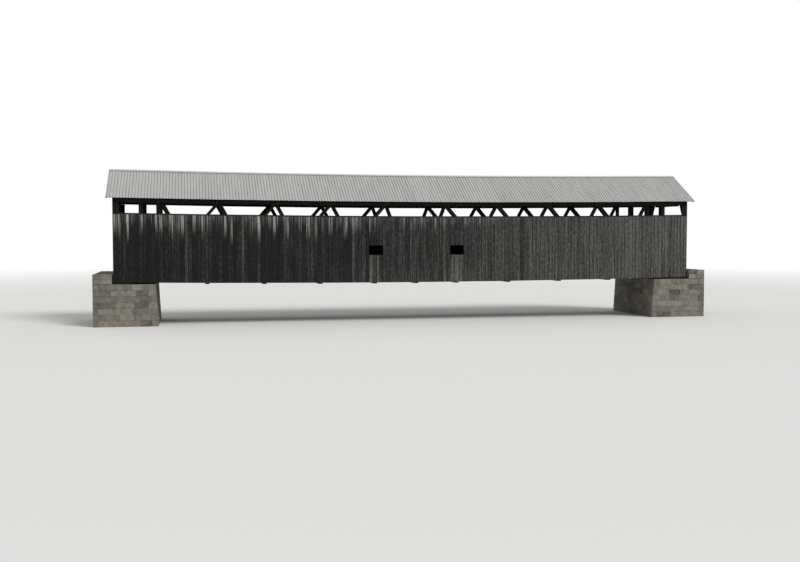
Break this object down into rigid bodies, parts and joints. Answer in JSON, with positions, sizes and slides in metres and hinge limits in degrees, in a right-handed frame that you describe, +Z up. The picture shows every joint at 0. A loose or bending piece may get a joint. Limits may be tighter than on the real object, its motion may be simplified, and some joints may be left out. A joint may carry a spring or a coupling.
{
  "type": "covered bridge",
  "caption": "Timber covered bridge with double-intersection trusses, board walls, a ribbed metal roof and stone abutments.",
  "frame": {"origin": "centre of the footprint, at the foot of the abutments", "axes": "+X along the bridge, +Z up, +Y across it, away from the near wall"},
  "size_m": [38.8, 6.308, 9.4086],
  "materials": {
    "wall_boards": "unpainted weathered boards",
    "frame_timber": "rough sawn, darkened",
    "deck_planks": "worn planks",
    "roof_metal": "galvanised ribbed sheet",
    "cut_stone": "rough cut blocks"
  },
  "bodies": {
    "root": {"left_abutment": "cut_stone", "left_backwall": "cut_stone", "left_wing_walls": "cut_stone", "right_abutment": "cut_stone", "right_backwall": "cut_stone", "right_wing_walls": "cut_stone", "near_lower_chord": "frame_timber", "near_upper_chord": "frame_timber", "near_compression_braces": "frame_timber", "near_tension_braces": "frame_timber", "near_end_posts": "frame_timber", "near_wall_plate": "frame_timber", "near_rafters": "frame_timber", "near_purlins": "frame_timber", "near_girts": "frame_timber", "near_girt_blocks": "frame_timber", "near_roof_sheet": "roof_metal", "near_siding": "wall_boards", "far_lower_chord": "frame_timber", "far_upper_chord": "frame_timber", "far_compression_braces": "frame_timber", "far_tension_braces": "frame_timber", "far_end_posts": "frame_timber", "far_wall_plate": "frame_timber", "far_rafters": "frame_timber", "far_purlins": "frame_timber", "far_girts": "frame_timber", "far_girt_blocks": "frame_timber", "far_roof_sheet": "roof_metal", "far_siding": "wall_boards", "bed_timbers": "frame_timber", "floor_beams": "frame_timber", "stringers": "frame_timber", "lower_laterals": "frame_timber", "tie_beams": "frame_timber", "upper_laterals": "frame_timber", "upper_lateral_halves": "frame_timber", "portal_posts": "frame_timber", "portal_knees": "frame_timber", "deck": "deck_planks", "ridge_cap": "roof_metal", "corner_boards": "wall_boards", "jamb_boards": "wall_boards", "portal_corner_boards": "wall_boards", "gable_boards": "wall_boards"}
  },
  "joints": []
}
